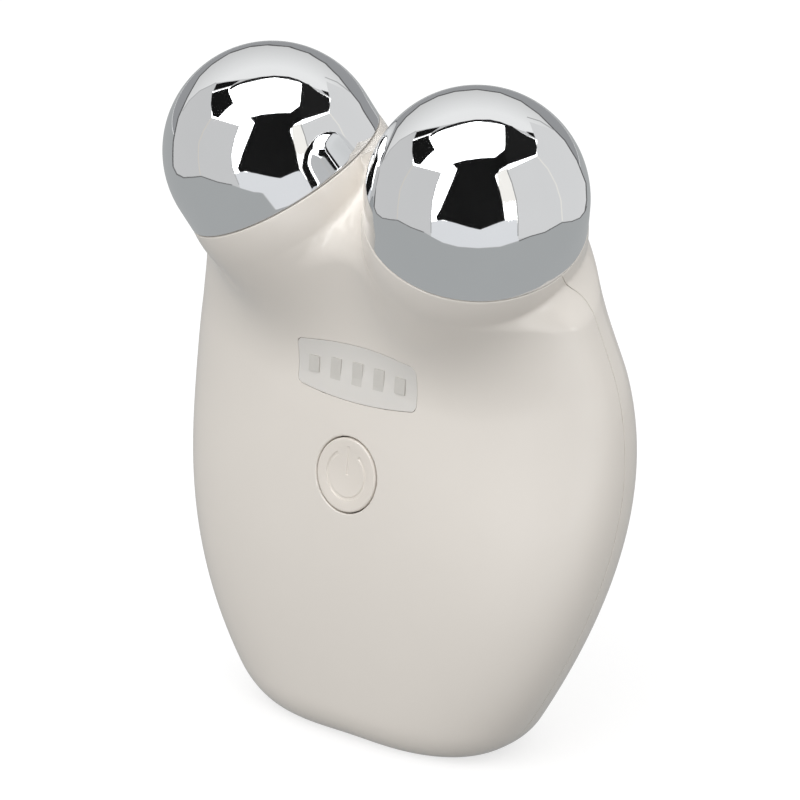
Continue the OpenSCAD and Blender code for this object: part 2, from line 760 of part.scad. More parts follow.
module battery_leads() {
    color(black) for (x = BATTERY_LEADS) {
        a = face_point([x, battery_top, -battery_back + battery_t / 2]);
        b = face_point([x, plug_at.y + plug.y / 2 - 0.9, -board_back - plug.z]);
        lead(a, a + 3.4 * face_up, b - 2.6 * face_out, b, n = 8);
    }
}

// ---- Charging ----
module charge_socket() {
    color(black) translate([0, socket_y, 0]) difference() {
        translate([0, 0, socket_floor]) cylinder(r = socket_r, h = socket_top - socket_floor);
        translate([0, 0, socket_floor - 1])
            cylinder(r = socket_bore_r, h = socket_top - socket_floor - 0.8);
        translate([0, 0, 0]) cylinder(r = socket_pin_r, h = socket_top + 1);
    }
}

module socket_pin() {
    color(steel) translate([0, socket_y, socket_floor + 0.8])
        cylinder(r = socket_pin_r, h = socket_top - socket_floor - 0.3);
}

module charge_leads() {
    color(black) for (x = CHARGE_LEADS) {
        a = [x, socket_y, socket_top];
        b = face_point([x * 1.6, 2.5 - board_down, -board_back]);
        lead(a, a + [0, 0, 4], b - lead_lift * face_out, b, n = 8);
    }
}

front_shell();
rear_shell();
electrode_right();
electrode_left();
electrode_seat_right();
electrode_seat_left();
electrode_seals();
electrode_screws();
contact_tabs();
wire_right();
wire_left();
indicator_lens();
light_guide();
level_leds();
power_button();
button_guide();
switch_body();
switch_plunger();
main_board();
controller_chip();
boost_coil();
filter_capacitors();
buzzer();
board_screws();
battery();
battery_pad();
battery_plug();
battery_leads();
charge_socket();
socket_pin();
charge_leads();
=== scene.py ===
import math
import bpy
import bmesh
import numpy as np
from mathutils import Matrix, Vector


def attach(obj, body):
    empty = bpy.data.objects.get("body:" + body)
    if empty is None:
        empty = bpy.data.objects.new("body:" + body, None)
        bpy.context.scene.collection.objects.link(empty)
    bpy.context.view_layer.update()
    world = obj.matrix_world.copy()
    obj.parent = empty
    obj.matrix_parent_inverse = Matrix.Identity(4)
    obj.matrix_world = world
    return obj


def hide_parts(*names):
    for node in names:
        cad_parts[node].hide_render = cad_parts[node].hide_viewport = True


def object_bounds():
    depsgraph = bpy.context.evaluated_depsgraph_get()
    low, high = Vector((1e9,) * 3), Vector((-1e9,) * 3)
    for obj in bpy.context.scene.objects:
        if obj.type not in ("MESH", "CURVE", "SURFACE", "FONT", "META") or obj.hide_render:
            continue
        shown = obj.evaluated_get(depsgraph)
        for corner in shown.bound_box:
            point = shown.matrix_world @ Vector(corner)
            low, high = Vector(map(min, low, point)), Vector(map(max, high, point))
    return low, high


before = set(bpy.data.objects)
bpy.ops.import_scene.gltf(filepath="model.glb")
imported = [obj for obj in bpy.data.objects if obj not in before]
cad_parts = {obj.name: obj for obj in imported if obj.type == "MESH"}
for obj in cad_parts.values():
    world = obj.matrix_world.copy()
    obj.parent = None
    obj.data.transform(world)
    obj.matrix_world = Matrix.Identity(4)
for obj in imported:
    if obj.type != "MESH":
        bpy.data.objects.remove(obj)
cad_box = [list(map(float, c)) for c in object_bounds()]
LOW = np.array(cad_box[0]) * 1000 + 0.004
HIGH = np.array(cad_box[1]) * 1000 - 0.004

# ---------------------------------------------------------------- camera
# Azimuth and elevation of the view, its distance and the point it looks at, in millimetres.
AZ, EL = math.radians(39.8), math.radians(19.1)
RIGHT = np.array([math.cos(AZ), math.sin(AZ), 0.0])
BACK = np.array([math.sin(AZ) * math.cos(EL), -math.cos(AZ) * math.cos(EL), math.sin(EL)])
UP = np.cross(BACK, RIGHT)
DOME_MID = np.array([0.0, -4.0, 85.5])
EYE = DOME_MID + 3.89 * RIGHT - 32.25 * UP + 656.0 * BACK
FOCAL, CENTRE_PX, FRAME_PX = 4590.0, 400.0, 800
cam_data = bpy.data.cameras.new("camera")
cam_data.sensor_fit = "HORIZONTAL"
cam_data.sensor_width = 36.0
cam_data.lens = cam_data.sensor_width * FOCAL / FRAME_PX
cam_data.clip_start, cam_data.clip_end = 0.05, 20.0
camera = bpy.data.objects.new("camera", cam_data)
bpy.context.scene.collection.objects.link(camera)
m = Matrix([[RIGHT[i], UP[i], BACK[i], EYE[i] * 0.001] for i in range(3)] + [[0, 0, 0, 1]])
camera.matrix_world = m
bpy.context.scene.camera = camera

# ---------------------------------------------------------------- the body's surface
DOME_Z, DOME_Y, HALF_PITCH = 85.5, -4.0, 19.1
SPLAY, LEAN = math.radians(20.7), math.radians(23.3)
SKIRT, DOME_R = 3.9, 16.0
WALL = 2.0
STATIONS = (0.0, 19.5, 41.5, 63.5, 85.5)
HALF_W = (22.0, 34.0, 39.5, 37.0, 24.0)
FRONT = (12.0, 12.5, 14.0, 10.0, 3.0)
REAR = (16.5, 17.0, 16.5, 14.5, 11.0)
BOW = (0.0, 0.0, 3.75, 3.75, -1.5)
FRONT_SQUARE, REAR_SQUARE, SQUARE_GAIN = 2.5, 2.1, 0.5
SOFTEN, SOFTEN_Z, SOFTEN_SPAN = 0.33, 50, 16   # rounder front corners around this height
CROWN_Z, CROWN_MID, CROWN_SLIM = 59.5, 33.0, 3.5   # the body profile closes above CROWN_Z
NECK_FLARE, NECK_BULGE = 0.13, 0.03            # change of the neck radius with depth
NECK_END, NECK_END_SOFT = 24, 8.0
VALLEY_BLEND, VALLEY_FADE = 14, 10             # blend between the necks, and its depth of fading in
BODY_BLEND, BODY_FADE = 15.5, 6.5              # blend of the necks with the body
BASE_CUT, BASE_EDGE = 0.25, 6.0
LEAST_FADE = 0.02


def electrode_axis(s):
    return np.array([s * math.sin(SPLAY), -math.cos(SPLAY) * math.sin(LEAN),
                     math.cos(SPLAY) * math.cos(LEAN)])


AXIS = {s: electrode_axis(s) for s in (-1, 1)}
CENTRE = {s: np.array([s * HALF_PITCH, DOME_Y, DOME_Z]) for s in (-1, 1)}
JUNCTION = {s: CENTRE[s] - SKIRT * AXIS[s] for s in (-1, 1)}


def profile(z, values):
    """Smooth curve through the five stations."""
    out = np.zeros_like(z)
    for i in range(5):
        c = np.ones_like(z)
        for j in range(5):
            if j != i:
                c = c * (z - STATIONS[j]) / (STATIONS[i] - STATIONS[j])
        out = out + values[i] * c
    return out


def smin(a, b, k):
    h = np.maximum(k - np.abs(a - b), 0) / k
    return np.minimum(a, b) - h * h * k / 4


def smax(a, b, k):
    return -smin(-a, -b, k)


def step01(t):
    t = np.clip(t, 0, 1)
    return t * t * (3 - 2 * t)


def trunk(p):
    x, y, z = p[..., 0], p[..., 1], p[..., 2]
    zz = np.clip(z, -4.5, DOME_Z + 4)
    dy = y - profile(zz, BOW)
    ahead = dy < 0
    w = np.maximum(profile(zz, HALF_W), 3)
    d = np.maximum(np.where(ahead, profile(zz, FRONT), profile(zz, REAR)), 2)
    rise = np.clip((z - 25.5) / 60.0, 0, 1) ** 2
    soften = SOFTEN * np.exp(-((z - SOFTEN_Z) / SOFTEN_SPAN) ** 2)
    n = np.where(ahead, FRONT_SQUARE + SQUARE_GAIN * rise - soften, REAR_SQUARE)
    plan = ((np.abs(x) / w + 1e-9) ** n + (np.abs(dy) / d + 1e-9) ** n) ** (1 / n)
    up = np.maximum(z - CROWN_Z, 0)
    crown = CROWN_MID - CROWN_SLIM * step01((np.abs(x) - 4) / 16)
    rho = np.sqrt(plan ** 2 + (up / crown) ** 2)
    return np.sqrt(x * x + dy * dy + up * up) * (1 - 1 / np.maximum(rho, 1e-3))


def neck_depth(p, s):
    return -((p - JUNCTION[s]) @ AXIS[s])


def neck(p, s):
    t = neck_depth(p, s)
    q = p - JUNCTION[s] + t[..., None] * AXIS[s]
    below = np.maximum(t, 0)
    return np.sqrt((q * q).sum(-1)) - (
        DOME_R + NECK_FLARE * np.maximum(t, -5) - NECK_BULGE * below * below)


def depth(p):
    return np.where(p[..., 0] > 0, neck_depth(p, 1), neck_depth(p, -1))


def body(p):
    t = smin(neck_depth(p, 1), neck_depth(p, -1), 3.0)
    valley = VALLEY_BLEND * np.maximum(step01(t / VALLEY_FADE), LEAST_FADE)
    necks = smax(smin(neck(p, -1), neck(p, 1), valley), t - NECK_END, NECK_END_SOFT)
    flow = BODY_BLEND * np.maximum(step01(t / BODY_FADE), LEAST_FADE)
    return smax(smin(trunk(p), necks, flow), -BASE_CUT - p[..., 2], BASE_EDGE)


def skin(p):
    return np.maximum(body(p), -depth(p) - 5)


def gradient(p, f=body, e=0.02):
    g = np.stack([f(p + e * a) - f(p - e * a) for a in np.eye(3)], -1)
    return g / (2 * e)


def unit(v):
    return v / np.maximum(np.sqrt((v * v).sum(-1, keepdims=True)), 1e-12)


def seam_y(z):
    k = step01((z - DOME_Z + 13.5) / 6.5)
    return profile(np.clip(z, -4.5, DOME_Z + 4), BOW) * (1 - k) + (DOME_Y + 1.3) * k


# Front face frames
TILT = math.radians(8.8)
BUTTON_Z, WINDOW_UP = 41.5, 14.9


def front_y(z):
    lo, hi = np.zeros(1), np.full(1, 30.0)
    for _ in range(40):
        mid = (lo + hi) / 2
        inside = body(np.stack([mid * 0, -mid, mid * 0 + z], -1)) < 0
        lo, hi = np.where(inside, mid, lo), np.where(inside, hi, mid)
    return float(-(lo + hi)[0] / 2)


FACE_UP = np.array([0, math.sin(TILT), math.cos(TILT)])
FACE_OUT = np.array([0, -math.cos(TILT), math.sin(TILT)])
FACE_AT = np.array([0, front_y(BUTTON_Z), BUTTON_Z])
WIN_Z = BUTTON_Z + WINDOW_UP * math.cos(TILT)
WIN_AT = np.array([0, front_y(WIN_Z), WIN_Z])
WIN_TILT = math.atan2(front_y(WIN_Z + 4.2) - front_y(WIN_Z - 4.2), 2 * 4.2)
WIN_UP = np.array([0, math.sin(WIN_TILT), math.cos(WIN_TILT)])
WIN_OUT = np.array([0, -math.cos(WIN_TILT), math.sin(WIN_TILT)])
EX = np.array([1.0, 0, 0])


def onto(p, out):
    """Moves points along one direction until they lie on the skin."""
    lo, hi = np.full(len(p), -6.0), np.full(len(p), 4.0)
    for _ in range(34):
        mid = (lo + hi) / 2
        inside = body(p + mid[:, None] * out) < 0
        lo, hi = np.where(inside, mid, lo), np.where(inside, hi, mid)
    return (lo + hi) / 2


# ---------------------------------------------------------------- meshes
def piece(name, verts, faces, normals=None, body_name="housing", slot=None, stands_for=()):
    verts = np.clip(np.asarray(verts, float), LOW, HIGH) * 0.001
    me = bpy.data.meshes.new(name)
    me.from_pydata(verts.tolist(), [], [tuple(int(i) for i in f) for f in faces])
    me.polygons.foreach_set("use_smooth", [True] * len(me.polygons))
    me.update()
    if normals is not None:
        me.normals_split_custom_set_from_vertices(unit(np.asarray(normals, float)).tolist())
    ob = bpy.data.objects.new(name, me)
    bpy.context.scene.collection.objects.link(ob)
    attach(ob, body_name)
    if stands_for:
        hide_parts(*stands_for)
    return ob


def surface_mesh(cell):
    """The body's skin as an even net: one vertex in each grid cell that it crosses, moved onto it."""
    half = np.arange(cell / 2, 41.0, cell)
    ax = [np.concatenate([-half[::-1], half]), np.arange(-22.0, 23.0, cell), np.arange(-1.03, 96.0, cell)]
    gy, gz = np.meshgrid(ax[1], ax[2], indexing="ij")
    f = np.stack([skin(np.stack([0 * gy + x, gy, gz], -1)) for x in half])
    f = np.concatenate([f[::-1], f])
    inside = f < 0
    count = np.zeros(tuple(n - 1 for n in f.shape), np.int8)
    corners = [(a, b, c) for a in (0, 1) for b in (0, 1) for c in (0, 1)]

    def at(grid, c):
        return grid[tuple(slice(k, n - 1 + k) for k, n in zip(c, grid.shape))]

    for c in corners:
        count += at(inside, c)
    cells = np.argwhere((count > 0) & (count < 8))
    total, hits = np.zeros((len(cells), 3)), np.zeros(len(cells))
    for a in corners:
        for axis in range(3):
            if a[axis]:
                continue
            b = tuple(1 if k == axis else a[k] for k in range(3))
            fa, fb = f[tuple((cells + a).T)], f[tuple((cells + b).T)]
            cut = (fa < 0) != (fb < 0)
            t = np.where(cut, fa / np.where(cut, fa - fb, 1), 0)
            q = cells + np.array(a, float)
            q[:, axis] += t
            total += q * cut[:, None]
            hits += cut
    v = np.array([x[0] for x in ax]) + total / hits[:, None] * cell
    number = np.full(count.shape, -1)
    number[tuple(cells.T)] = np.arange(len(cells))
    tri = []
    for axis in range(3):
        o, u = (axis + 1) % 3, (axis + 2) % 3
        cut = np.argwhere(np.diff(inside.astype(np.int8), axis=axis) != 0)
        cut = cut[(cut[:, o] > 0) & (cut[:, u] > 0)]
        cut = cut[(cut[:, o] < count.shape[o]) & (cut[:, u] < count.shape[u])]
        low = inside[tuple(cut.T)]
        ring = []
        for du, dv in ((0, 0), (-1, 0), (-1, -1), (0, -1)):
            c = cut.copy()
            c[:, o] += du
            c[:, u] += dv
            ring.append(number[tuple(c.T)])
        a, b, c, d = [np.where(low, x, y) for x, y in zip(ring, ring[::-1])]
        tri += [np.stack([a, b, c], -1), np.stack([a, c, d], -1)]
    tri = np.vstack(tri)
    tri = tri[(tri >= 0).all(1)]
    for _ in range(4):
        g = gradient(v)
        move = (body(v) / np.maximum((g * g).sum(-1), 0.05))[:, None] * g
        far = np.sqrt((move * move).sum(-1, keepdims=True))
        v = v - np.where((depth(v) > -3)[:, None], move * np.minimum(1, cell / np.maximum(far, 1e-9)), 0)
    return v, tri


def seam_side(p):
    """Distance along the skin from the parting line: negative in front of it."""
    def ahead(q):
        back = 2.2 * (1 - step01((np.abs(q[..., 0]) - 4) / 6)) * step01((q[..., 2] - 70) / 12)
        return q[..., 1] - seam_y(q[..., 2]) - back
    g, n = gradient(p, ahead), unit(gradient(p))
    g = g - (g * n).sum(-1, keepdims=True) * n
    return ahead(p) / np.maximum(np.sqrt((g * g).sum(-1)), 0.25)


def clip(v, tri, field, project=True):
    """Keeps the part of a triangle mesh where field(point) < 0."""
    g = field(v)
    g = np.where(np.abs(g) < 1e-6, -1e-6, g)
    keep = g < 0
    count = keep[tri].sum(1)
    whole = tri[count == 3]
    cut = tri[(count == 1) | (count == 2)]
    made = {}
    extra = []

    def cross(a, b):
        key = (min(a, b), max(a, b))
        if key not in made:
            t = g[a] / (g[a] - g[b])
            made[key] = len(v) + len(extra)
            extra.append(v[a] + t * (v[b] - v[a]))
        return made[key]

    new = []
    for t in cut:
        inside = [keep[i] for i in t]
        while not (inside[0] and not inside[2]):
            t = np.roll(t, -1)
            inside = inside[1:] + inside[:1]
        if inside[1]:
            a, b, c = t
            p, q = cross(b, c), cross(a, c)
            new += [[a, b, p], [a, p, q]]
        else:
            a, b, c = t
            new.append([a, cross(a, b), cross(a, c)])
    v2 = np.vstack([v, np.array(extra)]) if extra else v
    if extra and project:
        q = v2[len(v):]
        for _ in range(2):
            gr = gradient(q)
            q = q - (body(q) / np.maximum((gr * gr).sum(-1), 1e-6))[:, None] * gr
        v2[len(v):] = q
    tri2 = np.vstack([whole, np.array(new, int)]) if new else whole
    used = np.unique(tri2)
    index = np.full(len(v2), -1)
    index[used] = np.arange(len(used))
    return v2[used], index[tri2]


def weld_short(v, tri, least=0.02):
    """Drops slivers by joining the ends of very short edges."""
    e = np.vstack([tri[:, [0, 1]], tri[:, [1, 2]], tri[:, [2, 0]]])
    short = np.sqrt(((v[e[:, 0]] - v[e[:, 1]]) ** 2).sum(1)) < least
    root = np.arange(len(v))
    for a, b in e[short]:
        while root[a] != a:
            a = root[a]
        while root[b] != b:
            b = root[b]
        if a != b:
            root[max(a, b)] = min(a, b)
    for i in range(len(root)):
        r = i
        while root[r] != r:
            r = root[r]
        root[i] = r
    tri = root[tri]
    good = (tri[:, 0] != tri[:, 1]) & (tri[:, 1] != tri[:, 2]) & (tri[:, 2] != tri[:, 0])
    tri = tri[good]
    used = np.unique(tri)
    index = np.full(len(v), -1)
    index[used] = np.arange(len(used))
    return v[used], index[tri]


def thicken(v, tri, n, wall, radius, rings=5):
    """Gives an open skin its thickness, with rounded outer edges of radius(points) all round."""
    edges = np.vstack([tri[:, [0, 1]], tri[:, [1, 2]], tri[:, [2, 0]]])
    have = set(map(tuple, edges.tolist()))
    rim = [(a, b) for a, b in edges.tolist() if (b, a) not in have]
    ids = sorted({a for a, b in rim} | {b for a, b in rim})
    at = {a: i for i, a in enumerate(ids)}
    tangent = np.zeros((len(ids), 3))
    for a, b in rim:
        t = unit(v[b] - v[a])
        tangent[at[a]] += t
        tangent[at[b]] += t
    ids = np.array(ids)
    base, nn = v[ids], n[ids]
    side = unit(np.cross(unit(tangent), nn))
    r = radius(base)[:, None]
    loops, norms = [], []
    for k in range(1, rings + 1):
        a = k / rings * np.pi / 2
        loops.append(base + side * r * np.sin(a) - nn * r * (1 - np.cos(a)))
        norms.append(nn * np.cos(a) + side * np.sin(a))
    loops.append(base + side * r - nn * wall)
    norms.append(side)
    inner = v - n * wall
    start = len(v)
    size = len(ids)
    off = start + len(loops) * size
    faces = tri.tolist()
    index = [[start + k * size + i for i in range(size)] for k in range(len(loops))]
    ladder = [list(ids)] + index + [[off + int(i) for i in ids]]
    for a, b in rim:
        i, j = at[a], at[b]
        for k in range(len(ladder) - 1):
            faces.append((ladder[k][j], ladder[k][i], ladder[k + 1][i], ladder[k + 1][j]))
    faces += (tri[:, ::-1] + off).tolist()
    return np.vstack([v] + loops + [inner]), faces, np.vstack([n] + norms + [-n])


WIN_HALF_W, WIN_END_H, WIN_MID_H, WIN_CORNER = 11.2, 3.3, 4.2, 0.8


def barrel_field(x, y, grow):
    """Signed distance, nearly, to the window's barrel outline: negative inside."""
    w, e, mid = WIN_HALF_W + grow, WIN_END_H + grow, WIN_MID_H + grow
    rise = mid - e
    bow = (w * w + rise * rise) / (2 * rise)
    arc = np.sqrt(x * x + (np.abs(y) + bow - mid) ** 2) - bow
    flat = np.abs(x) - w
    r = WIN_CORNER
    a, b = arc + r, flat + r
    return np.minimum(np.maximum(a, b), 0) + np.sqrt(np.maximum(a, 0) ** 2 + np.maximum(b, 0) ** 2) - r


def in_frame(p, at, up, out):
    q = p - at
    return q[..., 0], q @ up, q @ out


def button_field(p):
    x, y, z = in_frame(p, FACE_AT, FACE_UP, FACE_OUT)
    return np.where(np.abs(z) < 6, np.sqrt(x * x + y * y) - HOLE_R, 50.0)


def window_field(p, grow=0.0):
    x, y, z = in_frame(p, WIN_AT, WIN_UP, WIN_OUT)
    return np.where(np.abs(z) < 6, barrel_field(x, y, grow), 50.0)


HOLE_R = 5.7
EDGE_NECK, EDGE_SEAM, EDGE_HOLE, EDGE_WINDOW = 0.22, 0.12, 0.25, 0.06
SEAM_GAP = 0.05


def edge_radius(p):
    near_neck = np.abs(depth(p)) < EDGE_NECK + 0.1
    near_hole = np.abs(button_field(p)) < EDGE_HOLE + 0.1
    near_window = np.abs(window_field(p)) < EDGE_WINDOW + 0.15
    return np.where(near_neck, EDGE_NECK, np.where(near_hole, EDGE_HOLE,
                    np.where(near_window, EDGE_WINDOW, EDGE_SEAM)))


def make_shell(name, side, v, tri):
    v, tri = clip(v, tri, lambda p: EDGE_SEAM + SEAM_GAP / 2 - side * seam_side(p))
    if side < 0:
        v, tri = clip(v, tri, lambda p: HOLE_R + EDGE_HOLE - (button_field(p) + HOLE_R))
        v, tri = clip(v, tri, lambda p: EDGE_WINDOW - window_field(p))
    else:
        v, tri = clip(v, tri, lambda p: np.where(p[..., 2] < 3, 3.1 - np.sqrt(
            p[..., 0] ** 2 + (p[..., 1] - 4.5) ** 2), -1.0))
    v, tri = weld_short(v, tri, 0.06)
    n = unit(gradient(v))
    v = v - 0.015 * n
    v[:, 2] = np.maximum(v[:, 2], 0)
    floor = v[:, 2] <= 0
    n[floor] = (0, 0, -1)
    verts, faces, normals = thicken(v, tri, n, WALL, edge_radius)
    return piece(name, verts, faces, normals, slot="casing", stands_for=[name.replace("_skin", "")])


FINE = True
skin_v, skin_tri = surface_mesh(0.5 if FINE else 0.9)
skin_v, skin_tri = clip(skin_v, skin_tri, lambda p: EDGE_NECK - depth(p))
front = make_shell("front_shell_skin", -1, skin_v, skin_tri)
rear = make_shell("rear_shell_skin", 1, skin_v, skin_tri)


def make_decks():
    """Flat decks in the neck mouths; between the domes they close the body's top."""
    verts, faces, normals, at = [], [], [], 0
    for s in (-1, 1):
        ex = unit(np.cross([0, 1.0, 0], AXIS[s]))
        ey = np.cross(AXIS[s], ex)
        u, w = np.meshgrid(np.arange(-22.0, 22.1, 0.5), np.arange(-18.0, 18.1, 0.5))
        nu, nw = u.shape[1], u.shape[0]
        v = JUNCTION[s] - 0.03 * AXIS[s] + u.reshape(-1, 1) * ex + w.reshape(-1, 1) * ey
        a = (np.arange(nw - 1)[:, None] * nu + np.arange(nu - 1)[None, :]).ravel()
        tri = np.vstack([np.stack([a, a + 1, a + nu + 1], -1), np.stack([a, a + nu + 1, a + nu], -1)])
        v, tri = clip(v, tri, lambda p: body(p) + 0.15, project=False)
        v, tri = clip(v, tri, lambda p, s=s: -s * p[..., 0], project=False)
        v, tri = clip(v, tri, lambda p, s=s: 10.05 - np.sqrt((((p - JUNCTION[s]) @ np.stack(
            [ex, ey], -1)) ** 2).sum(-1)), project=False)
        v, tri = weld_short(v, tri, 0.04)
        n = np.broadcast_to(AXIS[s], v.shape)
        a, b, c = thicken(v, tri, n, 2.3, lambda p: np.full(len(p), 0.02), rings=1)
        faces += [tuple(int(i) + at for i in f) for f in b]
        at += len(a)
        verts.append(a)
        normals.append(c)
    return piece("neck_decks", np.vstack(verts), faces, np.vstack(normals), slot="casing")


decks = make_decks()


def lathe(profile_pts, cols):
    """Closed solid of revolution about local Z from (radius, height) points, axis points joined."""
    turn = np.linspace(0, 2 * np.pi, cols, endpoint=False)
    verts, rows = [], []
    for r, z in profile_pts:
        if r < 1e-9:
            rows.append([len(verts)])
            verts.append((0, 0, z))
        else:
            rows.append(list(range(len(verts), len(verts) + cols)))
            verts += [(r * math.cos(a), r * math.sin(a), z) for a in turn]
    faces = []
    for a, b in zip(rows, rows[1:]):
        for j in range(cols):
            k = (j + 1) % cols
            if len(a) == 1 and len(b) > 1:
                faces.append((a[0], b[j], b[k]))
            elif len(b) == 1 and len(a) > 1:
                faces.append((a[j], b[0], a[k]))
            elif len(a) > 1:
                faces.append((a[j], b[j], b[k], a[k]))
    return np.array(verts, float), faces


def electrode(name, s):
    r, inner, seal = DOME_R - 0.012, DOME_R - 1.3, 0.25
    low, edge = seal - 0.06, 0.14
    pts = [(0.0, SKIRT + inner)]
    pts += [(inner * math.sin(a), SKIRT + inner * math.cos(a)) for a in np.linspace(0, math.pi / 2, 25)[1:]]
    pts += [(inner, seal + 0.15), (inner + 0.15, low)]
    pts += [(r - edge + edge * math.sin(a), low + edge - edge * math.cos(a))
            for a in np.linspace(0, math.pi / 2, 7)]
    pts += [(r, seal + 0.5 + (SKIRT - seal - 0.5) * k / 12) for k in range(13)]
    pts += [(r * math.cos(a), SKIRT + r * math.sin(a)) for a in np.linspace(0, math.pi / 2, 97)[1:-1]]
    pts += [(0.0, SKIRT + r)]
    verts, faces = lathe(pts, 256)
    ax = AXIS[s]
    ex = unit(np.cross([0, 1.0, 0], ax))
    ey = np.cross(ax, ex)
    world = JUNCTION[s] + verts[:, :1] * ex + verts[:, 1:2] * ey + verts[:, 2:] * ax
    ob = piece(name + "_dome", world, faces, slot="electrode", stands_for=[name])
    return ob


domes = [electrode("electrode_right", 1), electrode("electrode_left", -1)]

# ---------------------------------------------------------------- power button
BUTTON_R, DISH_R, DISH_BALL = 5.5, 4.7, 40.0
SYMBOL_R = 0.68 * BUTTON_R


def symbol_mask(x, y):
    """0 outside the power sign and 1 in it, with soft sides."""
    r = np.sqrt(x * x + y * y)
    a = np.abs(np.arctan2(x, y))
    band = np.abs(r - (SYMBOL_R - 0.22)) - 0.22
    past = (math.radians(34) - a) * SYMBOL_R
    ring = np.maximum(band, past)
    bar = np.maximum(np.abs(x) - 0.2, np.abs(y - 0.56 * SYMBOL_R) - 0.56 * SYMBOL_R)
    d = np.minimum(ring, bar)
    return step01(0.5 - d / 0.16)


def make_button():
    rows, cols = (150, 360) if FINE else (70, 180)
    rad = np.concatenate([np.linspace(0, BUTTON_R - 0.3, rows)[1:],
                          BUTTON_R - 0.3 + 0.3 * np.sin(np.linspace(0, np.pi / 2, 9))[1:]])
    turn = np.linspace(0, 2 * np.pi, cols, endpoint=False)

    def top(x, y):
        r = np.sqrt(x * x + y * y)
        sag = DISH_BALL - np.sqrt(np.maximum(DISH_BALL ** 2 - DISH_R ** 2, 0))
        dish = np.where(r < DISH_R, -(sag - (DISH_BALL - np.sqrt(np.maximum(
            DISH_BALL ** 2 - np.minimum(r, DISH_R) ** 2, 0)))), 0.0)
        soft = 0.12 * np.exp(-((r - DISH_R) / 0.35) ** 2) * 0.15
        out = np.maximum(r - (BUTTON_R - 0.3), 0)
        fillet = 0.3 - np.sqrt(np.maximum(0.09 - out * out, 0))
        return dish - soft - fillet - 0.17 * symbol_mask(x, y) - 0.01

    verts = [(0.0, 0.0, float(top(np.zeros(1), np.zeros(1))[0]))]
    for r in rad:
        x, y = r * np.cos(turn), r * np.sin(turn)
        z = top(x, y)
        verts += list(zip(x, y, z))
    lower = [(BUTTON_R, -2.7), (6.55, -2.72), (6.6, -2.78), (6.6, -3.45), (6.5, -3.5),
             (1.2, -3.5), (1.2, -5.25), (1.15, -5.3)]
    for r, z in lower:
        verts += [(r * math.cos(a), r * math.sin(a), z) for a in turn]
    verts.append((0, 0, -5.3))
    n_rows = len(rad) + len(lower)
    faces = [(0, 1 + j, 1 + (j + 1) % cols) for j in range(cols)]
    for i in range(n_rows - 1):
        a, b = 1 + i * cols, 1 + (i + 1) * cols
        faces += [(a + j, b + j, b + (j + 1) % cols, a + (j + 1) % cols) for j in range(cols)]
    a, last = 1 + (n_rows - 1) * cols, len(verts) - 1
    faces += [(a + j, last, a + (j + 1) % cols) for j in range(cols)]
    verts = np.array(verts)
    world = FACE_AT + verts[:, :1] * EX + verts[:, 1:2] * FACE_UP + verts[:, 2:] * FACE_OUT
    ob = piece("power_button_cap", world, faces, body_name="button", slot="button",
               stands_for=["power_button"])
    mark_sharp(ob, 50)
    return ob


def mark_sharp(ob, degrees):
    """Keeps hard corners hard under smooth shading."""
    bm = bmesh.new()
    bm.from_mesh(ob.data)
    for e in bm.edges:
        if len(e.link_faces) == 2:
            e.smooth = e.calc_face_angle(0.0) < math.radians(degrees)
    bm.to_mesh(ob.data)
    bm.free()


button = make_button()
for ob in domes:
    mark_sharp(ob, 40)

# ---------------------------------------------------------------- level window
MARKS = [(i - 2) * 4.05 for i in range(5)]
MARK_W, MARK_H = 1.9, (2.38, 3.16, 3.4, 3.16, 2.38)
LENS_GAP, LENS_EDGE, LAND = 0.05, 0.06, 2.6


def rect_field(x, y, cx, w, h, r=0.05):
    a, b = np.abs(x - cx) - w / 2 + r, np.abs(y) - h / 2 + r
    return np.minimum(np.maximum(a, b), 0) + np.sqrt(np.maximum(a, 0) ** 2 + np.maximum(b, 0) ** 2) - r


def window_patch(x0, x1, y0, y1, step):
    nx, ny = int((x1 - x0) / step) + 1, int((y1 - y0) / step) + 1
    xs, ys = np.linspace(x0, x1, nx), np.linspace(y0, y1, ny)
    gx, gy = np.meshgrid(xs, ys)
    flat = WIN_AT + gx.reshape(-1, 1) * EX + gy.reshape(-1, 1) * WIN_UP
    v = flat + onto(flat, WIN_OUT)[:, None] * WIN_OUT
    a = (np.arange(ny - 1)[:, None] * nx + np.arange(nx - 1)[None, :]).ravel()
    tri = np.vstack([np.stack([a, a + 1, a + nx + 1], -1), np.stack([a, a + nx + 1, a + nx], -1)])
    return v, tri


def patch_solid(name, v, tri, sink, deep, radius, **kw):
    v, tri = weld_short(v, tri, 0.01)
    n = unit(gradient(v))
    verts, faces, normals = thicken(v - sink * n, tri, n, deep, radius, rings=4)
    return piece(name, verts, faces, normals, **kw)


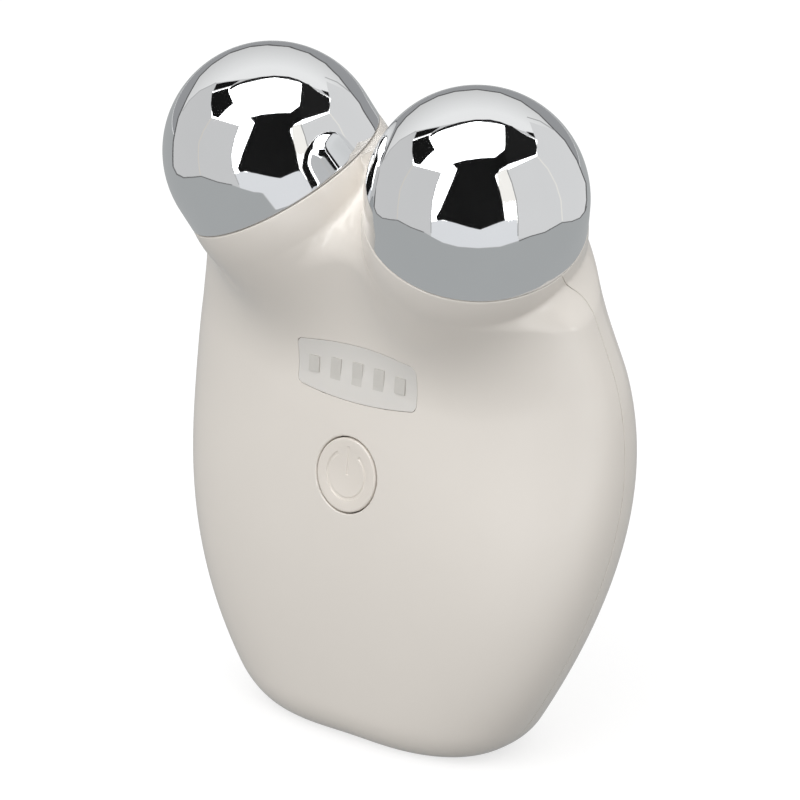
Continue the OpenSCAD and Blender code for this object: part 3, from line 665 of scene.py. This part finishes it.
def make_window():
    step = 0.12 if FINE else 0.25
    v, tri = window_patch(-11.4, 11.4, -4.4, 4.4, step)
    v, tri = clip(v, tri, lambda p: window_field(p, -LENS_GAP - LENS_EDGE))
    for cx, h in zip(MARKS, MARK_H):
        def outside(p, cx=cx, h=h):
            x, y, z = in_frame(p, WIN_AT, WIN_UP, WIN_OUT)
            return -rect_field(x, y, cx, MARK_W + 0.06, h + 0.06)
        v, tri = clip(v, tri, outside)

    def radius(p):
        return np.where(np.abs(window_field(p, -LENS_GAP - LENS_EDGE)) < 0.1, LENS_EDGE, 0.03)

    lens = patch_solid("indicator_lens_cap", v, tri, 0.03, LAND, radius, slot="window",
                       stands_for=["indicator_lens"])
    parts = []
    for i, (cx, h) in enumerate(zip(MARKS, MARK_H)):
        v, tri = window_patch(cx - 1.2, cx + 1.2, -h / 2 - 0.3, h / 2 + 0.3, step)

        def inside(p, cx=cx, h=h):
            x, y, z = in_frame(p, WIN_AT, WIN_UP, WIN_OUT)
            return rect_field(x, y, cx, MARK_W - 0.06, h - 0.06)
        v, tri = clip(v, tri, inside)
        v, tri = weld_short(v, tri, 0.01)
        n = unit(gradient(v))
        parts.append(thicken(v - 0.035 * n, tri, n, 3.4, lambda p: np.full(len(p), 0.03), rings=3))
    verts, faces, normals = [], [], []
    at = 0
    for a, b, c in parts:
        verts.append(a)
        normals.append(c)
        faces += [tuple(i + at for i in f) for f in b]
        at += len(a)
    bars = piece("light_guide_tips", np.vstack(verts), faces, np.vstack(normals), slot="light_guide")
    return lens, bars


lens, bars = make_window()

# ---------------------------------------------------------------- materials
def srgb(r, g, b):
    def lin(c):
        c = c / 255.0
        return c / 12.92 if c <= 0.04045 else ((c + 0.055) / 1.055) ** 2.4
    return (lin(r), lin(g), lin(b), 1.0)


def material(name, color, rough=0.4, metallic=0.0, coat=0.0, coat_rough=0.05, spread=0.02,
             grain=300.0, bump=0.02, bump_scale=900.0, rough_spread=0.05, ior=1.5, subsurface=0.0):
    """Principled surface with fine colour and roughness variation and a moulded or rolled grain."""
    mat = bpy.data.materials.new(name)
    mat.use_nodes = True
    nt = mat.node_tree
    b = nt.nodes["Principled BSDF"]
    co = nt.nodes.new("ShaderNodeTexCoord")
    noise = nt.nodes.new("ShaderNodeTexNoise")
    noise.inputs["Scale"].default_value = grain
    noise.inputs["Detail"].default_value = 4.0
    nt.links.new(co.outputs["Object"], noise.inputs["Vector"])
    ramp = nt.nodes.new("ShaderNodeValToRGB")
    lo = [max(c * (1 - spread), 0) for c in color[:3]] + [1]
    hi = [min(c * (1 + spread), 1) for c in color[:3]] + [1]
    ramp.color_ramp.elements[0].position, ramp.color_ramp.elements[1].position = 0.3, 0.7
    ramp.color_ramp.elements[0].color, ramp.color_ramp.elements[1].color = lo, hi
    nt.links.new(noise.outputs["Fac"], ramp.inputs["Fac"])
    nt.links.new(ramp.outputs["Color"], b.inputs["Base Color"])
    rr = nt.nodes.new("ShaderNodeMapRange")
    rr.inputs["To Min"].default_value = max(rough - rough_spread, 0.0)
    rr.inputs["To Max"].default_value = rough + rough_spread
    nt.links.new(noise.outputs["Fac"], rr.inputs["Value"])
    nt.links.new(rr.outputs["Result"], b.inputs["Roughness"])
    fine = nt.nodes.new("ShaderNodeTexNoise")
    fine.inputs["Scale"].default_value = bump_scale
    fine.inputs["Detail"].default_value = 2.0
    nt.links.new(co.outputs["Object"], fine.inputs["Vector"])
    bp = nt.nodes.new("ShaderNodeBump")
    bp.inputs["Strength"].default_value = bump
    bp.inputs["Distance"].default_value = 0.0002
    nt.links.new(fine.outputs["Fac"], bp.inputs["Height"])
    nt.links.new(bp.outputs["Normal"], b.inputs["Normal"])
    b.inputs["Metallic"].default_value = metallic
    b.inputs["IOR"].default_value = ior
    b.inputs["Coat Weight"].default_value = coat
    b.inputs["Coat Roughness"].default_value = coat_rough
    if subsurface:
        b.inputs["Subsurface Weight"].default_value = subsurface
        b.inputs["Subsurface Radius"].default_value = (0.002, 0.0018, 0.0015)
    return mat


PEARL = material("pearl_plastic", srgb(227, 221, 213), rough=0.42, coat=0.55, coat_rough=0.06,
                 spread=0.006, grain=60.0, bump=0.03, bump_scale=500.0, rough_spread=0.04)
BUTTON = material("button_plastic", srgb(227, 220, 211), rough=0.4, coat=0.5, coat_rough=0.08,
                  spread=0.006, grain=80.0, bump=0.02, bump_scale=700.0)
CHROME = material("polished_chrome", (0.83, 0.84, 0.85, 1), rough=0.035, metallic=1.0,
                  spread=0.008, grain=120.0, bump=0.004, bump_scale=90.0, rough_spread=0.012)
LENS = material("frosted_lens", srgb(220, 217, 212), rough=0.38, coat=0.7, coat_rough=0.07,
                spread=0.006, grain=150.0, bump=0.02, subsurface=0.1)
GREY = material("clear_grey", srgb(205, 202, 196), rough=0.4, coat=0.6, coat_rough=0.1,
                spread=0.02, grain=900.0, bump=0.05)
NYLON = material("nylon", srgb(222, 220, 214), rough=0.55, spread=0.02)
SEAL = material("seal_rubber", srgb(168, 164, 160), rough=0.7, spread=0.05, bump=0.15)
STEEL = material("zinc_steel", srgb(186, 188, 190), rough=0.32, metallic=1.0, spread=0.03, bump=0.08)
PLATED = material("plated_brass", srgb(212, 182, 116), rough=0.3, metallic=1.0, spread=0.03)
WIRE = material("wire_cover", srgb(40, 40, 42), rough=0.5, spread=0.05, bump=0.05)
LED = material("led_epoxy", srgb(240, 238, 222), rough=0.25, coat=0.5, spread=0.02)
BOARD = material("solder_mask", srgb(24, 92, 56), rough=0.35, coat=0.4, spread=0.12, grain=500.0,
                 bump=0.12, bump_scale=700.0)
BLACK = material("black_moulding", srgb(30, 30, 31), rough=0.48, spread=0.08, bump=0.1)
COPPER = material("enamelled_copper", srgb(190, 116, 66), rough=0.3, metallic=1.0, spread=0.06,
                  bump=0.3, bump_scale=1500.0)
CAN = material("aluminium_can", srgb(196, 198, 200), rough=0.28, metallic=1.0, spread=0.03)
FOIL = material("pouch_foil", srgb(198, 200, 202), rough=0.36, metallic=1.0, spread=0.05,
                grain=120.0, bump=0.25, bump_scale=250.0)
FOAM = material("foam_tape", srgb(70, 70, 70), rough=0.9, spread=0.15, grain=1500.0, bump=0.6,
                bump_scale=2500.0)

BY_NODE = {
    "front_shell": PEARL, "rear_shell": PEARL, "electrode_right": CHROME, "electrode_left": CHROME,
    "electrode_seat_right": NYLON, "electrode_seat_left": NYLON, "electrode_seals": SEAL,
    "electrode_screws": STEEL, "contact_tabs": PLATED, "wire_right": WIRE, "wire_left": WIRE,
    "indicator_lens": LENS, "light_guide": GREY, "level_leds": LED, "power_button": BUTTON,
    "button_guide": NYLON, "switch_body": BLACK, "switch_plunger": NYLON, "main_board": BOARD,
    "controller_chip": BLACK, "boost_coil": COPPER, "filter_capacitors": CAN, "buzzer": BLACK,
    "board_screws": STEEL, "battery": FOIL, "battery_pad": FOAM, "battery_plug": NYLON,
    "battery_leads": WIRE, "charge_socket": BLACK, "socket_pin": PLATED, "charge_leads": WIRE}
for name, mat in BY_NODE.items():
    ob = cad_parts[name]
    ob.data.materials.clear()
    ob.data.materials.append(mat)
for ob, mat in [(front, PEARL), (rear, PEARL), (decks, PEARL), (button, BUTTON), (lens, LENS),
                (bars, GREY)]:
    ob.data.materials.append(mat)
for ob in domes:
    ob.data.materials.append(CHROME)

# ---------------------------------------------------------------- studio
def plain(name):
    mat = bpy.data.materials.new(name)
    mat.use_nodes = True
    nt = mat.node_tree
    nt.nodes.clear()
    return mat, nt, nt.nodes.new("ShaderNodeOutputMaterial")


def seen(nt):
    """1 for rays that see the background: straight from the camera, or by way of metal or glass."""
    path = nt.nodes.new("ShaderNodeLightPath")
    total = path.outputs["Is Camera Ray"]
    for other in ("Is Glossy Ray", "Is Transmission Ray"):
        add = nt.nodes.new("ShaderNodeMath")
        add.operation = "MAXIMUM"
        nt.links.new(total, add.inputs[0])
        nt.links.new(path.outputs[other], add.inputs[1])
        total = add.outputs[0]
    return total


FLOOR_TONE, FLOOR_LIFT = 0.4, 0.68


def floor_material():
    mat, nt, out = plain("floor")
    diffuse = nt.nodes.new("ShaderNodeBsdfDiffuse")
    diffuse.inputs["Color"].default_value = (FLOOR_TONE, FLOOR_TONE, FLOOR_TONE, 1)
    glow = nt.nodes.new("ShaderNodeEmission")
    glow.inputs["Color"].default_value = (1, 1, 1, 1)
    glow.inputs["Strength"].default_value = FLOOR_LIFT
    add = nt.nodes.new("ShaderNodeAddShader")
    mix = nt.nodes.new("ShaderNodeMixShader")
    nt.links.new(diffuse.outputs[0], add.inputs[0])
    nt.links.new(glow.outputs[0], add.inputs[1])
    nt.links.new(seen(nt), mix.inputs["Fac"])
    nt.links.new(diffuse.outputs[0], mix.inputs[1])
    nt.links.new(add.outputs[0], mix.inputs[2])
    nt.links.new(mix.outputs[0], out.inputs["Surface"])
    return mat


me = bpy.data.meshes.new("floor")
me.from_pydata([(-4, -4, 0), (4, -4, 0), (4, 4, 0), (-4, 4, 0)], [], [(0, 1, 2, 3)])
floor = bpy.data.objects.new("floor", me)
bpy.context.scene.collection.objects.link(floor)
floor.data.materials.append(floor_material())


def shade(level, fall=None):
    """Glow of a studio card; `fall` makes it a slope between two levels along the view direction."""
    mat, nt, out = plain("card")
    glow = nt.nodes.new("ShaderNodeEmission")
    glow.inputs["Color"].default_value = (*level, 1) if isinstance(level, tuple) else (level,) * 3 + (1,)
    if fall:
        geo = nt.nodes.new("ShaderNodeNewGeometry")
        move = nt.nodes.new("ShaderNodeVectorMath")
        move.operation = "SUBTRACT"
        move.inputs[1].default_value = tuple(DOME_MID * 0.001)
        way = nt.nodes.new("ShaderNodeVectorMath")
        way.operation = "NORMALIZE"
        dot = nt.nodes.new("ShaderNodeVectorMath")
        dot.operation = "DOT_PRODUCT"
        dot.inputs[1].default_value = tuple(BACK)
        to = nt.nodes.new("ShaderNodeMapRange")
        for socket, value in zip(("From Min", "From Max", "To Min", "To Max"), fall):
            to.inputs[socket].default_value = value
        nt.links.new(geo.outputs["Position"], move.inputs[0])
        nt.links.new(move.outputs[0], way.inputs[0])
        nt.links.new(way.outputs[0], dot.inputs[0])
        nt.links.new(dot.outputs["Value"], to.inputs["Value"])
        nt.links.new(to.outputs["Result"], glow.inputs["Strength"])
    nt.links.new(glow.outputs[0], out.inputs["Surface"])
    return mat


def mirrored(px, py):
    """Where the line of sight at a picture point meets the right dome, and where it goes from there."""
    ray = unit((px - CENTRE_PX) * RIGHT - (py - CENTRE_PX) * UP - FOCAL * BACK)
    to = CENTRE[1] - EYE
    mid = ray @ to
    off = to - mid * ray
    miss = math.sqrt(off @ off)
    if miss > 0.999 * DOME_R:
        ray = unit(to - off * (0.998 * DOME_R / miss))
        mid = ray @ to
        off = to - mid * ray
    hit = EYE + ray * (mid - math.sqrt(max(DOME_R ** 2 - off @ off, 0)))
    n = unit(hit - CENTRE[1])
    return hit, ray - 2 * (ray @ n) * n


def stage_card(name, verts, faces, level, fall=None):
    """A studio card that only polished and glossy surfaces mirror; corners in millimetres."""
    me = bpy.data.meshes.new(name)
    me.from_pydata([tuple(np.asarray(v) * 0.001) for v in verts], [], faces)
    ob = bpy.data.objects.new(name, me)
    bpy.context.scene.collection.objects.link(ob)
    me.materials.append(shade(level, fall))
    ob.visible_camera = ob.visible_diffuse = ob.visible_shadow = False
    ob.visible_transmission = ob.visible_volume_scatter = False
    return ob


def card_point(px, py, near):
    """Point up to 0.6 m out, over the floor, that the right dome mirrors at a picture point."""
    hit, d = mirrored(px, py)
    sink = (math.sqrt(d[2] ** 2 + 0.04) - d[2]) / 2
    return hit + near / (1 / 600 + sink / hit[2]) * d


def dense(points, step, closed=True):
    pts = [np.array(q, float) for q in points]
    ends = pts[1:] + (pts[:1] if closed else [])
    out = []
    for a, b in zip(pts, ends):
        n = max(1, int(math.ceil(np.sqrt(((b - a) ** 2).sum()) / step)))
        out += [a + (b - a) * k / n for k in range(n)]
    return out if closed else out + [pts[-1]]


def fan_card(name, centre, outline, level, near, rings=16, fall=None):
    """Card with this outline in the right dome's mirror image, in picture points."""
    rim = dense(outline, 2.5)
    c = np.array(centre, float)
    verts = [card_point(*c, near)]
    for r in range(1, rings + 1):
        verts += [card_point(*(c + (q - c) * r / rings), near) for q in rim]
    n = len(rim)
    faces = [(0, 1 + j, 1 + (j + 1) % n) for j in range(n)]
    for r in range(rings - 1):
        a, b = 1 + r * n, 1 + (r + 1) * n
        faces += [(a + j, b + j, b + (j + 1) % n, a + (j + 1) % n) for j in range(n)]
    return stage_card(name, verts, faces, level, fall)


def line_card(name, points, width, level, near=0.955):
    pts = dense(points, 2.5, closed=False)
    verts = []
    for k, q in enumerate(pts):
        t = pts[min(k + 1, len(pts) - 1)] - pts[max(k - 1, 0)]
        side = np.array([-t[1], t[0]]) / max(np.sqrt((t * t).sum()), 1e-9) * width / 2
        verts += [card_point(*(q + side), near), card_point(*(q - side), near)]
    faces = [(2 * k, 2 * k + 1, 2 * k + 3, 2 * k + 2) for k in range(len(pts) - 1)]
    return stage_card(name, verts, faces, level)


# The studio is a pale tent with an open back, a lit screen and dark cloths behind the camera.
OVER = [(374, 207), (375.5, 187), (380, 166), (388, 147), (397, 128), (406, 117), (420, 105), (438, 96),
        (455, 91.3), (477, 89.3), (500, 92.5), (521, 101), (539, 114), (552, 127), (565, 140.5),
        (577, 160), (586, 183), (586.8, 200), (585, 211.5)]
UNDER = [(580, 218), (572, 221.4), (562, 222.6), (545, 232.3), (530, 236.5), (519, 241), (500, 247),
         (478, 248.4), (458, 247), (443, 243), (432, 237), (424, 232.3), (411, 227.5), (397.5, 220.3),
         (390, 219.6), (382, 218), (376.5, 213.5)]
fan_card("tent", (477, 175), OVER + UNDER, 0.64, 0.985, rings=44)
fan_card("tent_right", (565, 185), OVER[12:] + UNDER[:3] + [(562, 205), (556, 184), (548, 169), (537, 156),
         (535, 138), (529, 122), (530, 116)], 0.76, 0.98)
ROOF = (-0.8, -0.1, 0.645, 0.945)
fan_card("roof_left", (405, 128), [(384, 160), (390, 150), (400, 140), (416, 131), (440, 126)]
         + OVER[7:2:-1], (1.0, 1.0, 0.995), 0.975, fall=ROOF)
fan_card("roof_right", (490, 108), [(440, 126), (475, 119.5), (500, 121.5), (520, 130), (534, 134),
         (530, 123), (527, 117), (540, 121), (555, 130.5)] + OVER[12:6:-1],
         (1.0, 1.0, 0.995), 0.975, fall=ROOF)
fan_card("screen", (475, 178), [(413, 140), (430, 134), (475, 121), (505, 125), (537, 140), (537, 158),
         (520, 200), (518, 237), (480, 240), (431, 234), (425, 205), (430, 172), (413, 165)], 4.5, 0.98)
fan_card("screen_side", (507, 205), [(497, 172), (508, 168), (518, 200), (519, 237), (503, 236), (500, 200)],
         (1.06, 1.03, 0.98), 0.977)
fan_card("apron", (478, 238), [(431, 222), (440, 220), (480, 226), (505, 219), (517, 220), (519, 240.5),
         (500, 246.5), (478, 248), (458, 246.5), (443, 242.5), (431, 236.5)], (0.82, 0.83, 0.85), 0.975)
fan_card("panel_left", (416, 200), [(413, 165), (441, 172.5), (436, 186), (432.5, 200), (431, 215),
         (431, 235.5), (424, 232), (411, 227.2), (397.5, 220), (398, 205), (400, 190), (405, 178)],
         0.66, 0.97)
fan_card("panel_right", (537, 200), [(507, 170), (537, 156), (548, 169), (556, 184), (561, 200),
         (562.5, 222.3), (545, 232), (530, 236.2), (518, 239), (518, 220), (516.5, 200), (512, 183)],
         0.75, 0.97)
DARK = 0.008
fan_card("cloth_left", (421, 150), [(412.5, 141), (420, 138), (429, 134.8), (429.5, 139), (435, 150),
         (428, 156), (420, 165), (414, 163.3), (412, 152)], DARK, 0.965)
fan_card("cloth_left_top", (424, 132.5), [(414, 138.5), (416.5, 132), (426, 129.5), (440, 126.8),
         (432, 132.5), (422, 136)], DARK, 0.965)
fan_card("cloth_right", (517, 148), [(504.5, 124), (512, 126), (521, 132.5), (535.5, 139.5), (537, 147),
         (536.5, 154.5), (520, 160.5), (507, 165), (503, 158), (505, 145), (505, 132)], 0.014, 0.965)
fan_card("cloth_right_top", (531, 134.5), [(526, 131.3), (533.5, 133), (535.5, 138), (530, 135)], DARK, 0.965)
fan_card("cloth_bridge", (484, 166), [(452, 163.6), (465, 160), (480, 158), (497, 157), (504, 150),
         (508, 165), (500, 169.8), (497, 174), (480, 178), (456, 172), (457, 169)], DARK, 0.965)
fan_card("cloth_stem", (476, 198), [(457, 169), (452, 182), (446, 196), (440, 210), (436, 216.5),
         (437, 220.5), (443, 220), (455, 223), (468, 227), (480, 229.8), (490, 226), (499, 222.5),
         (505, 220.5), (503.5, 207), (500, 191), (495.5, 177), (497, 170), (480, 166)], DARK, 0.963)
line_card("frame_top", [(430, 136), (437, 131.5), (446, 127.5), (460, 123.2), (475, 120.6), (490, 120.6),
          (500, 122.8), (508, 126)], 2.3, 0.01)
line_card("tent_hem", OVER, 1.1, 0.13)
line_card("table_hem_right", [(586.8, 206), (585, 211.5)] + UNDER[:6], 1.0, 0.16)
line_card("table_hem_left", UNDER[11:] + [(374, 207)], 1.0, 0.2)
line_card("panel_hem_left", [(441, 172.5), (436, 186), (432.5, 200), (431, 215), (431, 233)], 0.8, 0.4)
line_card("panel_hem_right", [(507, 170), (512, 183), (516.5, 200), (518, 220), (518, 236)], 0.9, 0.32)
line_card("seam_left", [(413, 165), (405, 178), (400, 190), (398, 205), (397, 219)], 0.9,
          (0.72, 0.68, 0.62))
line_card("seam_right", [(537, 156), (548, 169), (556, 184), (561, 200), (562.5, 221)], 1.2,
          (0.9, 0.88, 0.83))
line_card("roof_hem_left", [(384, 160), (390, 150), (400, 140), (416, 131)], 0.8, 0.5)
line_card("roof_hem_right", [(527, 117), (540, 121), (555, 130.5)], 0.9, 0.42)

# Grey table under the object and grey room around the tent.
ring = [(0, 0, 0.4)] + [(1900 * math.cos(a), 1900 * math.sin(a), 0.4)
                        for a in np.linspace(0, 2 * math.pi, 64, endpoint=False)]
stage_card("table", ring, [(0, 1 + k, 1 + (k + 1) % 64) for k in range(64)], (0.425, 0.437, 0.44))
verts, faces = [], []
for i in range(13):
    up = math.radians(-0.5 + 90.5 * i / 12)
    verts += [(2300 * math.cos(up) * math.cos(a), 2300 * math.cos(up) * math.sin(a), 2300 * math.sin(up))
              for a in np.linspace(0, 2 * math.pi, 48, endpoint=False)]
faces = [(i * 48 + j, i * 48 + (j + 1) % 48, (i + 1) * 48 + (j + 1) % 48, (i + 1) * 48 + j)
         for i in range(12) for j in range(48)]
stage_card("room", verts, faces, (0.335, 0.34, 0.35))


def lamp(name, direction, distance, size, watts, color=(1, 1, 1)):
    light = bpy.data.lights.new(name, "AREA")
    light.shape = "DISK"
    light.size = size
    light.energy = watts
    light.color = color
    ob = bpy.data.objects.new(name, light)
    bpy.context.scene.collection.objects.link(ob)
    r, u, b = direction
    d = Vector(r * RIGHT + u * UP + b * BACK).normalized()
    ob.location = Vector(DOME_MID * 0.001) + d * distance
    ob.rotation_euler = d.to_track_quat("Z", "Y").to_euler()
    ob.visible_glossy = False
    return ob


lamp("key", (-0.5, 0.45, 1.0), 1.5, 2.2, 11.6)
lamp("side", (1.0, 0.6, 0.5), 1.5, 0.9, 2.3)

world = bpy.data.worlds.new("studio")
bpy.context.scene.world = world
world.use_nodes = True
wt = world.node_tree
wt.nodes.clear()
w_out = wt.nodes.new("ShaderNodeOutputWorld")
w_light = wt.nodes.new("ShaderNodeBackground")
w_light.inputs["Color"].default_value = (1, 1, 1, 1)
w_light.inputs["Strength"].default_value = 0.76
w_seen = wt.nodes.new("ShaderNodeBackground")
w_seen.inputs["Color"].default_value = (1, 1, 1, 1)
w_seen.inputs["Strength"].default_value = 1.0
w_mix = wt.nodes.new("ShaderNodeMixShader")
wt.links.new(seen(wt), w_mix.inputs["Fac"])
wt.links.new(w_light.outputs[0], w_mix.inputs[1])
wt.links.new(w_seen.outputs[0], w_mix.inputs[2])
wt.links.new(w_mix.outputs[0], w_out.inputs["Surface"])

bpy.context.scene.view_settings.view_transform = "Standard"
